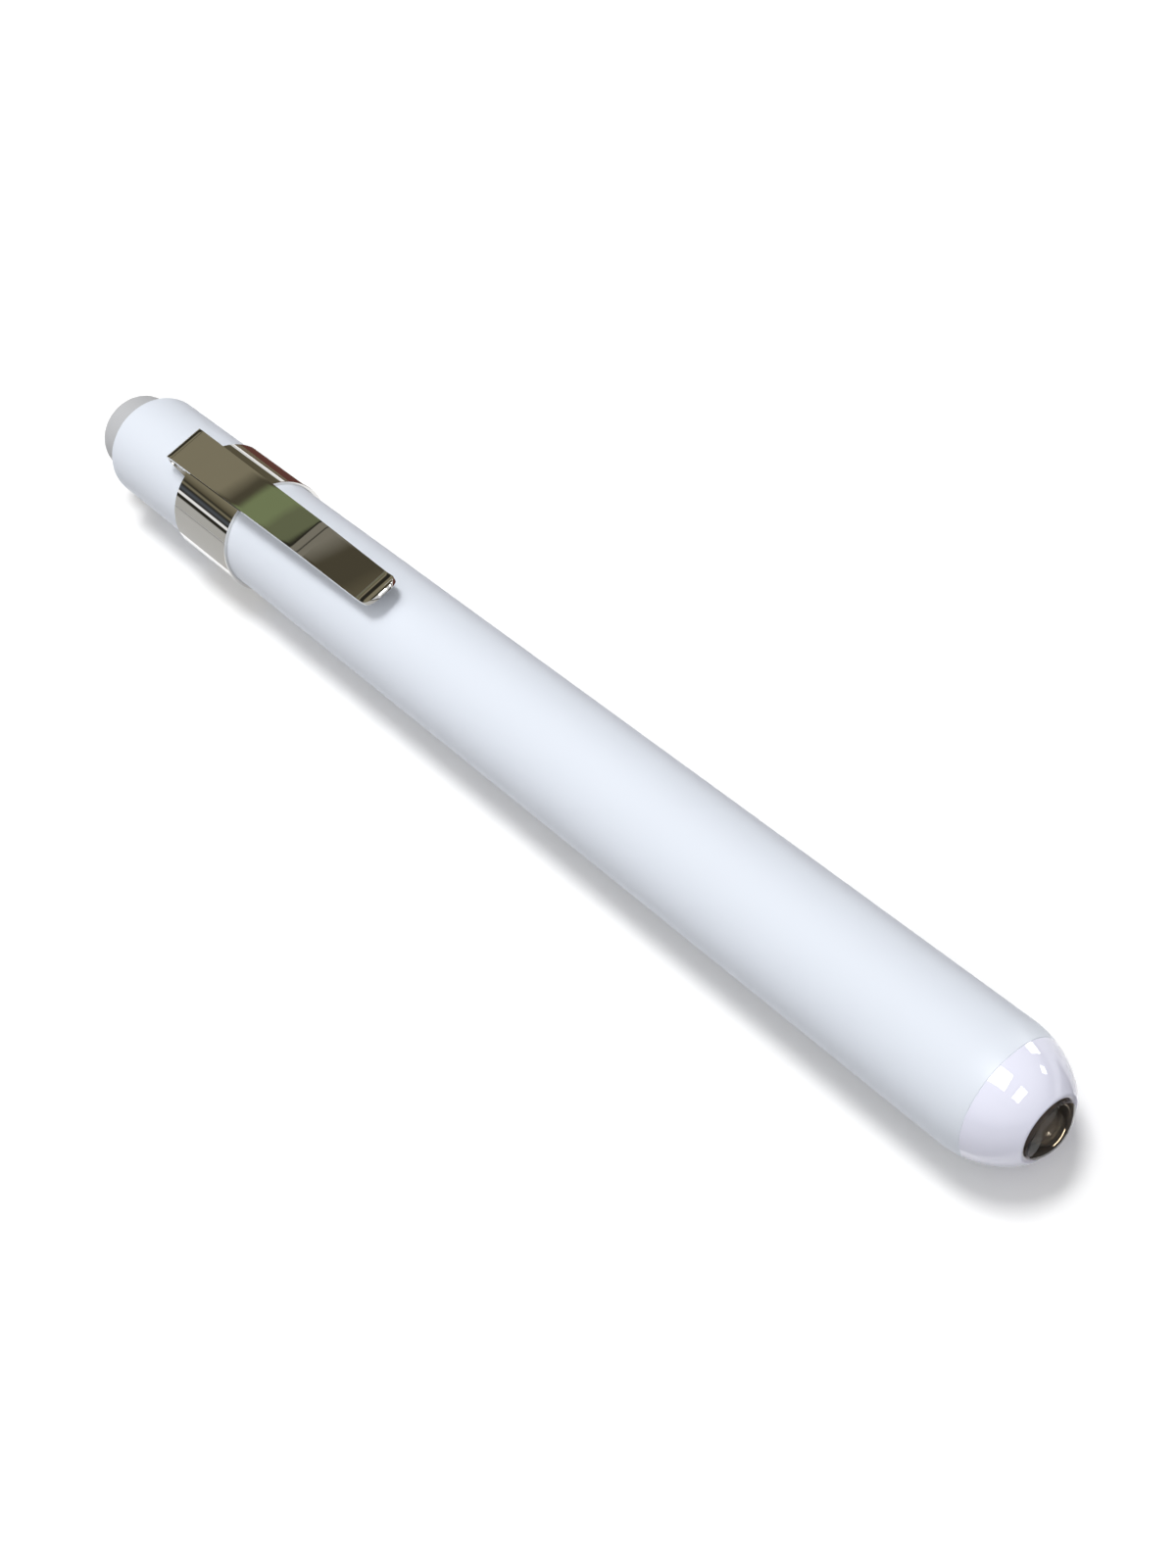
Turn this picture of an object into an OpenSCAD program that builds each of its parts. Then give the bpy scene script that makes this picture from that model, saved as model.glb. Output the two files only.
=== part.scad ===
// Push-button pocket penlight, in millimetres.
// The pen lies along X with its nose at +X and its clip up (+Z).
// Stations along the pen are measured from the barrel's rear rim.

/* [Cells] */
// Diameter of an AAA cell over its jacket
cell_d = 10.4; // [9.8:0.1:10.6]
// Length of a cell with its positive nub
cell_len = 44.5; // [40:0.5:46]
// Diameter of the positive nub
nub_d = 3.8; // [3:0.1:4.4]
// Height of the positive nub
nub_h = 1; // [0.6:0.1:1.4]
// Thickness of the printed jacket
jacket_t = 0.16; // [0.1:0.02:0.3]
// Diameter of the negative plate
plate_d = 6.9; // [5:0.1:7.6]
// Depth of the recess that holds the seal and the negative plate
seal_depth = 1; // [0.6:0.1:2]
// Wall of the can outside its seal
can_rim = 0.45; // [0.3:0.05:0.9]
// Rounding of the can's shoulder
can_round = 0.5; // [0.2:0.1:0.8]

/* [Barrel] */
// Wall of the barrel
barrel_wall = 0.9; // [0.8:0.05:1.6]
// Play between a cell and the barrel's bore
cell_play = 0.15; // [0.1:0.05:0.4]
// Rounding of the rear rim's outer edge
rim_round = 0.5; // [0.2:0.05:0.8]
// Depth of the channel for the contact strip
channel_depth = 0.3; // [0.2:0.05:0.4]

/* [Nose] */
// Length of the dome, from the straight barrel to its crown
dome_len = 7.7; // [6.5:0.1:11]
// How far the barrel runs up the dome before the seam
dome_lap = 2.4; // [0.5:0.05:3.2]
// Diameter of the bulb's hole
hole_d = 5.7; // [5.6:0.05:6.2]
// How far the spigot reaches back over the bulb's shell
spigot_grip = 5.6; // [4:0.1:6.5]
// Chamfer on each side of the seam
seam_chamfer = 0.12; // [0.04:0.02:0.25]
// Rounding of the hole's lip
lip_round = 0.35; // [0.1:0.05:0.45]
// Play between the glass and the cap
glass_play = 0.25; // [0.1:0.05:0.4]

/* [Bulb] */
// Diameter of the lens in the nose hole
lens_d = 5.5; // [5:0.05:5.5]
// Height of the lens's domed end
lens_cap = 0.85; // [0.4:0.05:1.2]
// Length of the lens in front of the glass's shoulder
lens_neck = 2.05; // [1.7:0.05:2.4]
// How far the lens stands out of the hole's lip
lens_proud = 0.82; // [0.5:0.02:1]
// Diameter of the glass behind the nose hole
glass_d = 7; // [6.4:0.1:7.4]
// Rounding of the glass's shoulder
glass_round = 0.5; // [0.2:0.05:0.6]
// Length of the bulb from its tip contact to its lens
bulb_len = 23.5; // [23:0.5:27]
// Diameter of the brass shell
shell_d = 8.8; // [8:0.1:9.4]
// Length of the brass shell
shell_len = 10.5; // [9:0.5:12]
// Wall of the brass shell
shell_wall = 0.3; // [0.2:0.05:0.5]
// Wall of the glass
glass_wall = 0.7; // [0.5:0.1:1]
// Thickness of the solid lens
lens_t = 5.6; // [3.6:0.1:6.5]
// Diameter of the tip contact
tip_d = 2.8; // [2:0.1:3.6]
// Height of the tip contact
tip_h = 1; // [0.6:0.1:1.4]
// Height of the insulator behind the shell
vitrite_h = 0.3; // [0.2:0.05:0.8]
// Thickness of the insulator inside the shell
vitrite_t = 1; // [0.6:0.1:1.6]
// Diameter of a lead wire
lead_d = 0.3; // [0.2:0.05:0.5]
// Distance between the lead wires
lead_span = 2.4; // [1.6:0.1:3]
// Diameter of the filament's coil
filament_d = 0.4; // [0.2:0.05:0.6]
// Distance from the filament to the lens
filament_back = 2.4; // [1.5:0.1:4]
// Diameter of the bead on the leads
bead_d = 3.6; // [3:0.1:4]
// Length of the bead
bead_len = 1.4; // [0.8:0.1:2]

/* [Contacts] */
// Width of the contact strip
strip_w = 2.6; // [1.6:0.1:3]
// Length of the contact ring
ring_len = 3; // [2:0.1:4]
// Thickness of the collar's floor in front of the cell
collar_floor = 0.6; // [0.4:0.1:1]
// Wall of the collar
collar_wall = 0.6; // [0.4:0.05:0.7]
// Diameter of the collar's hole for the nub
collar_hole = 5; // [4.6:0.1:6]

/* [Switch] */
// Diameter of the button
button_d = 9.5; // [9.1:0.05:9.7]
// How far the button stands out of the barrel
button_proud = 5.2; // [4:0.1:6.5]
// Travel of the button
travel = 2; // [1.2:0.1:2.6]
// Play between the button and the barrel, all round
button_play = 0.15; // [0.1:0.01:0.2]
// Length of the barrel's lip that keeps the button in
mouth_len = 1.6; // [1:0.1:2]
// Chamfer of the barrel's mouth
mouth_chamfer = 0.2; // [0.05:0.05:0.3]
// Length of the button's skirt inside the barrel
skirt_len = 4.1; // [3.4:0.1:6]
// Wall of the button's skirt
skirt_wall = 1; // [0.7:0.05:1.2]
// Thickness of the button's end
button_end = 1.2; // [0.9:0.05:1.6]
// Height of the crown on the button's end
button_crown = 0.35; // [0.1:0.05:0.6]
// Rounding of the button's edge
button_round = 0.9; // [0.4:0.05:1.1]
// Wall of the boss that grips the pin
boss_wall = 0.9; // [0.6:0.05:1]
// Length of the boss
boss_len = 4.5; // [2.5:0.1:6]
// Diameter of the plunger pin
pin_d = 2; // [1.6:0.1:2.2]
// Length of the bush
bush_len = 11; // [8:0.5:13]
// Depth of the spring seat in the bush
seat_depth = 2.5; // [1.5:0.1:4]
// Diameter of the spring seat in the bush
seat_d = 6.6; // [6.4:0.1:7.4]
// Diameter of the contact disc
disc_d = 7.2; // [6.8:0.1:8]
// Thickness of the contact disc
disc_t = 0.5; // [0.4:0.05:0.8]
// Diameter of the pin's riveted head
rivet_d = 3.2; // [2.8:0.1:3.4]
// Height of the pin's riveted head
rivet_h = 0.4; // [0.3:0.05:0.6]
// Reach of the strip's finger, as the radius of its tip
finger_r = 3.05; // [3:0.05:3.2]

/* [Springs] */
// Wire of the return spring
return_wire = 0.5; // [0.3:0.05:0.55]
// Mean diameter of the return spring
return_d = 5.2; // [5:0.05:5.5]
// Turns of the return spring
return_turns = 6; // [4:1:7]
// Wire of the battery spring
battery_wire = 0.6; // [0.4:0.05:0.6]
// Mean diameter of the battery spring at the disc
battery_d_small = 4.3; // [4.2:0.05:4.4]
// Mean diameter of the battery spring at the cell
battery_d_large = 6.4; // [5.6:0.1:6.6]
// Length of the battery spring at rest
battery_len = 9; // [8:0.5:12]
// Turns of the battery spring
battery_turns = 5; // [4:1:6]

/* [Clip] */
// Thickness of the clip's sheet
clip_t = 0.4; // [0.3:0.05:0.6]
// Distance from the rear rim to the band
band_start = 15.5; // [8:0.25:20]
// Length of the band
band_len = 10.6; // [6:0.05:14]
// Width of the split in the band's underside
band_split = 0.6; // [0.3:0.1:2]
// Length of the blade from the hairpin to its lip's end
blade_len = 40.3; // [26:0.1:46]
// Width of the blade at the hairpin
blade_w = 4.9; // [4:0.1:6]
// Width of the blade at its lip
blade_tip_w = 4.2; // [3.4:0.1:5]
// How far the hairpin stands out behind the band
hairpin_back = 2.9; // [1.6:0.05:4]
// Gap between the barrel and the blade
blade_gap = 1.55; // [1:0.05:3]
// Length of the blade's level part, from the hairpin
level_len = 25.5; // [12:0.1:28]
// Length of the easy bend after the level part
ease_len = 2.5; // [1:0.1:4]
// How far the blade comes down before its lip
blade_fall = 0.45; // [0.1:0.05:0.6]
// Radius of the lip's bend
lip_bend_r = 5.5; // [3:0.1:9]
// Angle that the lip is turned up
lip_angle = 34; // [10:1:45]
// Corner radius of the blade's front end
tip_corner = 1.7; // [0.5:0.1:1.7]

/* [Fits] */
// Clearance between pieces that are pressed or stacked together
snug = 0.02; // [0.01:0.01:0.03]
// Radial clearance between the pin and the bush
pin_clear = 0.08; // [0.05:0.01:0.1]
// Gap left between the disc and the strip's finger when the button is down
contact_gap = 0.05; // [0.03:0.01:0.1]
// Gap left between the button and the bush when the button is down
bottom_gap = 0.1; // [0.05:0.01:0.3]

/* [Hidden] */

// Facets of a full turn, and steps of a rounded outline
$fn = 96;
arc_steps = 8;
dome_steps = 28;
// Extra length of a cutting body past the surface that it cuts
over = 1;

// Radii
cell_r = cell_d / 2;
bore_r = cell_r + cell_play;
barrel_r = bore_r + barrel_wall;
channel_r = bore_r + channel_depth;
plug_r = bore_r - snug;
can_r = cell_r - jacket_t;
seal_r = can_r - can_rim;
plate_r = plate_d / 2;
lens_r = lens_d / 2;
glass_r = glass_d / 2;
hole_r = hole_d / 2;
shell_r = shell_d / 2;
button_r = button_d / 2;
mouth_r = button_r + button_play;
flange_r = bore_r - button_play;
pin_r = pin_d / 2;
boss_r = pin_r + boss_wall;
band_in_r = barrel_r + snug;
band_out_r = band_in_r + clip_t;
blade_low = barrel_r + blade_gap;
blade_top = blade_low + clip_t;
strip_out_r = channel_r - snug;
strip_in_r = bore_r;
strip_t = strip_out_r - strip_in_r;

// Stations along the pen, from the tail to the nose
button_floor = button_end - button_proud;
bush_back = skirt_len + travel + bottom_gap;
bush_front = bush_back + bush_len;
spring_seat = bush_back + seat_depth;
disc_back = bush_front + contact_gap;
disc_front = disc_back + disc_t;
finger_back = disc_front + travel + contact_gap;
rear_cell_x = disc_front + battery_len;
front_cell_x = rear_cell_x + cell_len + snug;
stack_front = front_cell_x + cell_len;
cell_shoulder = stack_front - nub_h;
bulb_back = stack_front + snug;
bulb_front = bulb_back + bulb_len;
vitrite_back = bulb_back + tip_h;
shell_back = vitrite_back + vitrite_h;
shell_front = shell_back + shell_len;
glass_front = bulb_front - lens_neck;
hole_lip = bulb_front - lens_proud;
dome_start = hole_lip - dome_len * sqrt(1 - pow(hole_r / barrel_r, 2));
seam = dome_start + dome_lap;
spigot_back = shell_front - spigot_grip;
collar_back = cell_shoulder + jacket_t + snug;
ring_front = spigot_back - snug;
ring_back = ring_front - ring_len;
collar_front = ring_back - snug;
clip_back = band_start - hairpin_back;
band_end = band_start + band_len;
blade_end = clip_back + blade_len;
hairpin_r = (blade_top - band_in_r) / 2;
bend_x = clip_back + hairpin_r;
fall_start = clip_back + level_len;
lip_start = blade_end - lip_bend_r * sin(lip_angle);
ease_fall = blade_fall * ease_len / 2 / (lip_start - fall_start - ease_len / 2);
glass_back = shell_back + shell_wall + vitrite_t + snug;
glass_floor = glass_back + glass_wall * 2;
cavity_front = bulb_front - lens_t;
filament_x = cavity_front - filament_back;

// The box's middle along the pen, and the height of the pen's axis above the surface
mid_x = (bulb_front - button_proud) / 2;
axis_z = band_out_r;

// Points of an arc about [x, radius] centre c, from angle a to angle b
function arc(c, r, a, b, n = arc_steps) =
    [for (i = [0 : n]) let (q = a + (b - a) * i / n) [c[0] + r * cos(q), c[1] + r * sin(q)]];

// Radius of the dome at station x
function dome_r(x) = barrel_r * sqrt(max(0, 1 - pow((x - dome_start) / dome_len, 2)));

// Where the hole's rounded lip runs into the dome, as a turn up the dome, and the lip's own centre
function dome_slope(q) = atan2(cos(q) / barrel_r, sin(q) / dome_len);
lip_guess = acos((hole_r + lip_round * 1.5) / barrel_r);
lip_turn = acos((hole_r + lip_round * (1 + sin(dome_slope(lip_guess)))) / barrel_r);
lip_slope = dome_slope(lip_turn);
lip_x = dome_start + dome_len * sin(lip_turn);
lip_centre = [lip_x - lip_round * cos(lip_slope), hole_r + lip_round];

// Points of the dome between two stations, closer together near the crown
function dome_points(a, b, n = dome_steps) =
    let (qa = asin((a - dome_start) / dome_len), qb = asin((b - dome_start) / dome_len))
    [for (i = [0 : n]) let (q = qa + (qb - qa) * i / n)
        [dome_start + dome_len * sin(q), barrel_r * cos(q)]];

// Centre line of a coil along X, from radius ra to radius rb
ring_steps = 12;
wire_sides = 6;
function coil_line(xa, xb, ra, rb, turns) =
    let (n = turns * ring_steps)
    [for (i = [0 : n]) let (f = i / n, q = 360 * i / ring_steps, r = ra + (rb - ra) * f)
        [xa + (xb - xa) * f, r * cos(q), r * sin(q)]];

// Least gap between a coil's neighbouring turns, measured on its points
function coil_gap(line, wire) =
    min([for (i = [0 : len(line) - 1], j = [i + ring_steps / 2 : 1 : len(line) - 1])
        norm(line[j] - line[i])]) - wire;

module place() {
    translate([-mid_x, 0, axis_z]) children();
}

// A turned piece from its outline of [station, radius] points
module turned(outline) {
    rotate([0, 90, 0]) rotate_extrude() polygon([for (p = outline) [p[1], p[0]]]);
}

// A plain tube between two stations
module tube(xa, xb, r_out, r_in) {
    turned([[xa, r_in], [xb, r_in], [xb, r_out], [xa, r_out]]);
}

// A block of width w about the pen's middle plane, between two stations and two heights
module slab(xa, xb, w, za, zb) {
    translate([xa, -w / 2, za]) cube([xb - xa, w, zb - za]);
}

// A round wire swept along a coil's centre line
module coil(line, wire) {
    n = len(line);
    rings = [for (i = [0 : n - 1])
        let (t = line[min(i + 1, n - 1)] - line[max(i - 1, 0)],
            u = t / norm(t),
            o = [0, line[i][1], line[i][2]],
            out = o / norm(o),
            side = cross(u, out) / norm(cross(u, out)),
            up = cross(side, u))
        for (k = [0 : wire_sides - 1])
            line[i] + wire / 2 * (cos(360 * k / wire_sides) * up + sin(360 * k / wire_sides) * side)];
    skin = [for (i = [0 : n - 2], k = [0 : wire_sides - 1])
        let (a = i * wire_sides + k, b = i * wire_sides + (k + 1) % wire_sides)
        each [[a, a + wire_sides, b], [b, a + wire_sides, b + wire_sides]]];
    back = [for (k = [1 : wire_sides - 2]) [0, k, k + 1]];
    last = (n - 1) * wire_sides;
    front = [for (k = [1 : wire_sides - 2]) [last, last + k + 1, last + k]];
    polyhedron(rings, concat(skin, back, front));
}

// Casing

module barrel() {
    color("white") place() difference() {
        turned(concat(
            [[mouth_len, bore_r], [mouth_len, mouth_r], [mouth_chamfer, mouth_r], [0, mouth_r + mouth_chamfer]],
            arc([rim_round, barrel_r - rim_round], rim_round, 180, 90),
            dome_points(dome_start, seam - seam_chamfer),
            [[seam, dome_r(seam) - seam_chamfer], [seam, bore_r]]));
        intersection() {
            tube(finger_back - over, spigot_back + over, channel_r, bore_r - over);
            slab(finger_back - over, spigot_back + over, strip_w + snug * 2, -barrel_r, 0);
        }
    }
}

module nose_cap() {
    seat_r = glass_r + glass_play;
    shoulder = shell_front + snug;
    lip_back = glass_front + snug;
    color("white") place() turned(concat(
        [[spigot_back, shell_r + snug], [shoulder, shell_r + snug], [shoulder, seat_r],
            [lip_back, seat_r], [lip_back, hole_r]],
        arc(lip_centre, lip_round, -90, lip_slope),
        dome_points(lip_x, seam + seam_chamfer),
        [[seam + snug, dome_r(seam) - seam_chamfer], [seam + snug, plug_r], [spigot_back, plug_r]]));
}

module pocket_clip() {
    color("silver") place() {
        difference() {
            tube(band_start, band_end, band_out_r, band_in_r);
            slab(band_start - over, band_end + over, band_split, -band_out_r - over, 0);
        }
        intersection() {
            clip_strip();
            translate([0, 0, band_in_r - over]) linear_extrude(blade_top + lip_bend_r) clip_plan();
        }
    }
}

// Side view of the folded strip, as wide as its blank: tongue, hairpin, blade and lip
module clip_strip() {
    blade = [[bend_x, blade_top], [fall_start, blade_top], [fall_start + ease_len, blade_top - ease_fall],
        [lip_start, blade_top - blade_fall]];
    rotate([90, 0, 0]) linear_extrude(blade_w + over, center = true) {
        translate([bend_x, band_in_r]) square([band_start + over - bend_x, clip_t]);
        polygon(concat(blade, [for (i = [len(blade) - 1 : -1 : 0]) blade[i] - [0, clip_t]]));
        translate([bend_x, (blade_top + band_in_r) / 2]) difference() {
            circle(hairpin_r);
            circle(hairpin_r - clip_t);
            translate([0, -hairpin_r - over]) square((hairpin_r + over) * 2);
        }
        translate([lip_start, blade_top - blade_fall + lip_bend_r]) intersection() {
            difference() {
                circle(lip_bend_r + clip_t);
                circle(lip_bend_r);
            }
            polygon([[0, 0], [0, -2 * lip_bend_r], 2 * lip_bend_r * [sin(lip_angle), -cos(lip_angle)]]);
        }
    }
}

// Plan of the strip: a slow taper with round front corners
module clip_plan() {
    polygon(concat(
        [[clip_back - over, -blade_w / 2], [bend_x, -blade_w / 2]],
        arc([blade_end - tip_corner, -blade_tip_w / 2 + tip_corner], tip_corner, -90, 0),
        arc([blade_end - tip_corner, blade_tip_w / 2 - tip_corner], tip_corner, 0, 90),
        [[bend_x, blade_w / 2], [clip_back - over, blade_w / 2]]));
}

// Switch

module push_button() {
    flat_r = button_r - button_round;
    crown_r = (pow(flat_r, 2) + pow(button_crown, 2)) / (2 * button_crown);
    edge_x = button_crown - button_proud + button_round;
    flange_back = mouth_len + bottom_gap;
    color("lightgray") place() turned(concat(
        arc([crown_r - button_proud, 0], crown_r, 180, 180 - asin(flat_r / crown_r)),
        arc([edge_x, flat_r], button_round, 180 - asin(flat_r / crown_r), 90),
        [[flange_back, button_r], [flange_back, flange_r], [skirt_len, flange_r],
            [skirt_len, button_r - skirt_wall], [button_floor, button_r - skirt_wall], [button_floor, boss_r],
            [button_floor + boss_len, boss_r], [button_floor + boss_len, pin_r + snug],
            [button_floor, pin_r + snug], [button_floor, 0]]));
}

module plunger_pin() {
    color("goldenrod") place() turned(concat(
        [[button_floor + snug, 0], [button_floor + snug, pin_r], [disc_front + snug, pin_r],
            [disc_front + snug, rivet_d / 2]],
        [[disc_front + snug + rivet_h / 2, rivet_d / 2], [disc_front + snug + rivet_h, rivet_d / 2 - rivet_h],
            [disc_front + snug + rivet_h, 0]]));
}

module contact_disc() {
    color("goldenrod") place() tube(disc_back, disc_front, disc_d / 2, pin_r + snug);
}

module switch_bush() {
    color("ivory") place() turned([
        [bush_back, seat_d / 2], [spring_seat, seat_d / 2], [spring_seat, pin_r + pin_clear],
        [bush_front, pin_r + pin_clear], [bush_front, plug_r], [bush_back, plug_r]]);
}

module return_spring() {
    line = coil_line(button_floor + return_wire / 2 + snug, spring_seat - return_wire / 2 - snug,
        return_d / 2, return_d / 2, return_turns);
    echo(return_spring_gap = coil_gap(line, return_wire));
    color("silver") place() coil(line, return_wire);
}

module battery_spring() {
    line = coil_line(disc_front + battery_wire / 2 + snug, rear_cell_x - battery_wire / 2 - snug,
        battery_d_small / 2, battery_d_large / 2, battery_turns);
    echo(battery_spring_gap = coil_gap(line, battery_wire));
    color("silver") place() coil(line, battery_wire);
}

module contact_strip() {
    color("goldenrod") place() intersection() {
        union() {
            tube(finger_back, ring_front, strip_out_r, strip_in_r);
            slab(finger_back, finger_back + strip_t, strip_w, -strip_out_r, -finger_r);
        }
        tube(finger_back, ring_front, strip_out_r, 0);
        slab(finger_back, ring_front, strip_w, -strip_out_r, 0);
    }
}

// Cells, each from the station x of its negative plate

module cell_body(x) {
    shoulder = x + cell_len - nub_h;
    turned(concat(
        [[x + seal_depth, 0], [x + seal_depth, seal_r], [x + snug, seal_r], [x + snug, can_r]],
        arc([shoulder - can_round, can_r - can_round], can_round, 90, 0),
        [[shoulder, nub_d / 2], [x + cell_len, nub_d / 2], [x + cell_len, 0]]));
}

module cell_jacket(x) {
    shoulder = x + cell_len - nub_h;
    lip_r = can_r - can_round * 2;
    inner = can_r + snug;
    turned(concat(
        [[x + snug, inner]],
        arc([shoulder - can_round, can_r - can_round], can_round + snug, 90, 0),
        [[shoulder + snug, lip_r], [shoulder + jacket_t, lip_r]],
        arc([shoulder - can_round, can_r - can_round], can_round + jacket_t, 0, 90),
        [[x + snug, cell_r]]));
}

module cell_seal(x) {
    tube(x + snug * 2, x + seal_depth - snug, seal_r - snug, plate_r + snug);
}

module cell_plate(x) {
    tube(x, x + seal_depth - snug, plate_r, 0);
}

module rear_cell_body() {
    color("gray") place() cell_body(rear_cell_x);
}

module rear_cell_jacket() {
    color("dimgray") place() cell_jacket(rear_cell_x);
}

module rear_cell_seal() {
    color("black") place() cell_seal(rear_cell_x);
}

module rear_cell_plate() {
    color("silver") place() cell_plate(rear_cell_x);
}

module front_cell_body() {
    color("gray") place() cell_body(front_cell_x);
}

module front_cell_jacket() {
    color("dimgray") place() cell_jacket(front_cell_x);
}

module front_cell_seal() {
    color("black") place() cell_seal(front_cell_x);
}

module front_cell_plate() {
    color("silver") place() cell_plate(front_cell_x);
}

// Bulb and its contacts

module insulating_collar() {
    color("white") place() turned([
        [collar_back, collar_hole / 2], [collar_back + collar_floor, collar_hole / 2],
        [collar_back + collar_floor, plug_r - collar_wall], [collar_front, plug_r - collar_wall],
        [collar_front, plug_r], [collar_back, plug_r]]);
}

module contact_ring() {
    color("goldenrod") place() tube(ring_back, ring_front, plug_r, shell_r + snug);
}

module bulb_shell() {
    color("goldenrod") place() turned([
        [shell_back, tip_d / 2 + vitrite_t], [shell_back + shell_wall, tip_d / 2 + vitrite_t],
        [shell_back + shell_wall, shell_r - shell_wall], [shell_front, shell_r - shell_wall],
        [shell_front, shell_r], [shell_back, shell_r]]);
}

module bulb_insulator() {
    neck_r = tip_d / 2 + vitrite_t - snug;
    inside = shell_back + shell_wall + snug;
    color("black") place() turned([
        [vitrite_back + snug, 0], [vitrite_back + snug, tip_d / 2], [shell_back, neck_r], [inside, neck_r],
        [inside, shell_r - shell_wall - snug], [glass_back - snug, shell_r - shell_wall - snug],
        [glass_back - snug, 0]]);
}

module bulb_tip_contact() {
    cap_r = (pow(tip_d / 2, 2) + pow(tip_h, 2)) / (2 * tip_h);
    color("silver") place() turned(concat(
        arc([bulb_back + cap_r, 0], cap_r, 180, 180 - acos((cap_r - tip_h) / cap_r)),
        [[vitrite_back, 0]]));
}

module bulb_glass() {
    foot_r = shell_r - shell_wall - snug;
    foot_front = shell_front - glass_wall;
    cavity_r = glass_r - glass_wall;
    cap_r = (pow(lens_r, 2) + pow(lens_cap, 2)) / (2 * lens_cap);
    color("lightblue", 0.4) place() difference() {
        turned(concat(
            [[glass_back, 0], [glass_back, foot_r], [foot_front - glass_wall, foot_r], [foot_front, glass_r]],
            arc([glass_front - glass_round, glass_r - glass_round], glass_round, 90, 0),
            [[glass_front, lens_r]],
            arc([bulb_front - cap_r, 0], cap_r, asin(lens_r / cap_r), 0, dome_steps)));
        turned(concat(
            [[glass_floor, 0], [glass_floor, cavity_r]],
            arc([cavity_front - glass_wall, cavity_r - glass_wall], glass_wall, 90, 0),
            [[cavity_front, 0]]));
        for (side = [-1, 1])
            lead_rod(side, glass_back - over, glass_floor + over, lead_d / 2 + snug);
    }
}

// One of the two lead wires, or the hole for it
module lead_rod(side, xa, xb, r) {
    translate([xa, side * lead_span / 2, 0]) rotate([0, 90, 0]) cylinder(h = xb - xa, r = r);
}

module bulb_leads() {
    color("silver") place() for (side = [-1, 1])
        lead_rod(side, glass_back, filament_x + filament_d, lead_d / 2);
}

module bulb_bead() {
    bead_x = (glass_floor + filament_x) / 2;
    color("lightblue") place() difference() {
        tube(bead_x, bead_x + bead_len, bead_d / 2, 0);
        for (side = [-1, 1])
            lead_rod(side, bead_x - over, bead_x + bead_len + over, lead_d / 2 + snug);
    }
}

module bulb_filament() {
    half = (lead_span - lead_d) / 2 - snug;
    color("dimgray") place() translate([filament_x, half, 0])
        rotate([90, 0, 0]) cylinder(h = half * 2, r = filament_d / 2);
}

barrel();
nose_cap();
pocket_clip();
push_button();
plunger_pin();
contact_disc();
switch_bush();
return_spring();
battery_spring();
contact_strip();
rear_cell_body();
rear_cell_jacket();
rear_cell_seal();
rear_cell_plate();
front_cell_body();
front_cell_jacket();
front_cell_seal();
front_cell_plate();
insulating_collar();
contact_ring();
bulb_shell();
bulb_insulator();
bulb_tip_contact();
bulb_glass();
bulb_leads();
bulb_bead();
bulb_filament();
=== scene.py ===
"""Looks of a push-button pocket penlight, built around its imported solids."""

import math

import bmesh
import bpy
from bpy.props import FloatProperty, FloatVectorProperty, IntProperty, PointerProperty
from bpy.types import Operator, Panel, PropertyGroup
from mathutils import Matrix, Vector


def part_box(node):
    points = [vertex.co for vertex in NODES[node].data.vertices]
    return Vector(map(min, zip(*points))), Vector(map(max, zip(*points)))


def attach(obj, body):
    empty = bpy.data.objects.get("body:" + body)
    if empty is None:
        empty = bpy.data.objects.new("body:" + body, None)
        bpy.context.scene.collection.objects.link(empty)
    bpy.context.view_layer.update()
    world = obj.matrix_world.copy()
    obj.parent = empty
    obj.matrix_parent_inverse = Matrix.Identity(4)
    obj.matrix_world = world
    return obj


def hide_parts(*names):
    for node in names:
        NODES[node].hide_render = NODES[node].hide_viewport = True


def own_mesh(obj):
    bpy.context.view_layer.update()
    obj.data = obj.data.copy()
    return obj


bl_info = {
    "name": "Pocket penlight",
    "version": (1, 0, 0),
    "blender": (4, 5, 0),
    "location": "View3D > Sidebar > Penlight",
    "description": "Builds the visible pieces and finishes of a pocket penlight",
    "category": "Object",
}

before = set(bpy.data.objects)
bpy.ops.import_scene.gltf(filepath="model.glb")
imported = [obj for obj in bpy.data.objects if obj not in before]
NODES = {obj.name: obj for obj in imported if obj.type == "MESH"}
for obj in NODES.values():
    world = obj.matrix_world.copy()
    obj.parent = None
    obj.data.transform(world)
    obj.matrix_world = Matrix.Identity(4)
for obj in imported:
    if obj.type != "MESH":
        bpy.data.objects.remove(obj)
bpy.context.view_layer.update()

# Places that the solids give
BARREL_LOW, BARREL_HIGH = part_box("barrel")
TAIL = BARREL_LOW.x
SEAM = BARREL_HIGH.x - TAIL
AXIS_Z = (BARREL_LOW.z + BARREL_HIGH.z) / 2
BARREL_R = (BARREL_HIGH.y - BARREL_LOW.y) / 2
CLIP_LOW, CLIP_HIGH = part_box("pocket_clip")
BUTTON_LOW, BUTTON_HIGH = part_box("push_button")
CAP_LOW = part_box("nose_cap")[0]
GLASS_LOW, GLASS_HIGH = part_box("bulb_glass")

# A millimetre, the gap that welds points, and where the panels aim
MM = 0.001
WELD = 1e-7
NOSE = Vector((0.070, 0.0, 0.008))

# Facets of turned pieces, arcs, walls and wire
TURN_STEPS = 160
GLASS_STEPS = 128
DOME_ROWS = 32
LAP_ROWS = 12
BARREL_ROWS = 12
HAIRPIN_ROWS = 12
LIP_ROWS = 10
WIND_STEPS = 24
WIRE_SIDES = 10

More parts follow.
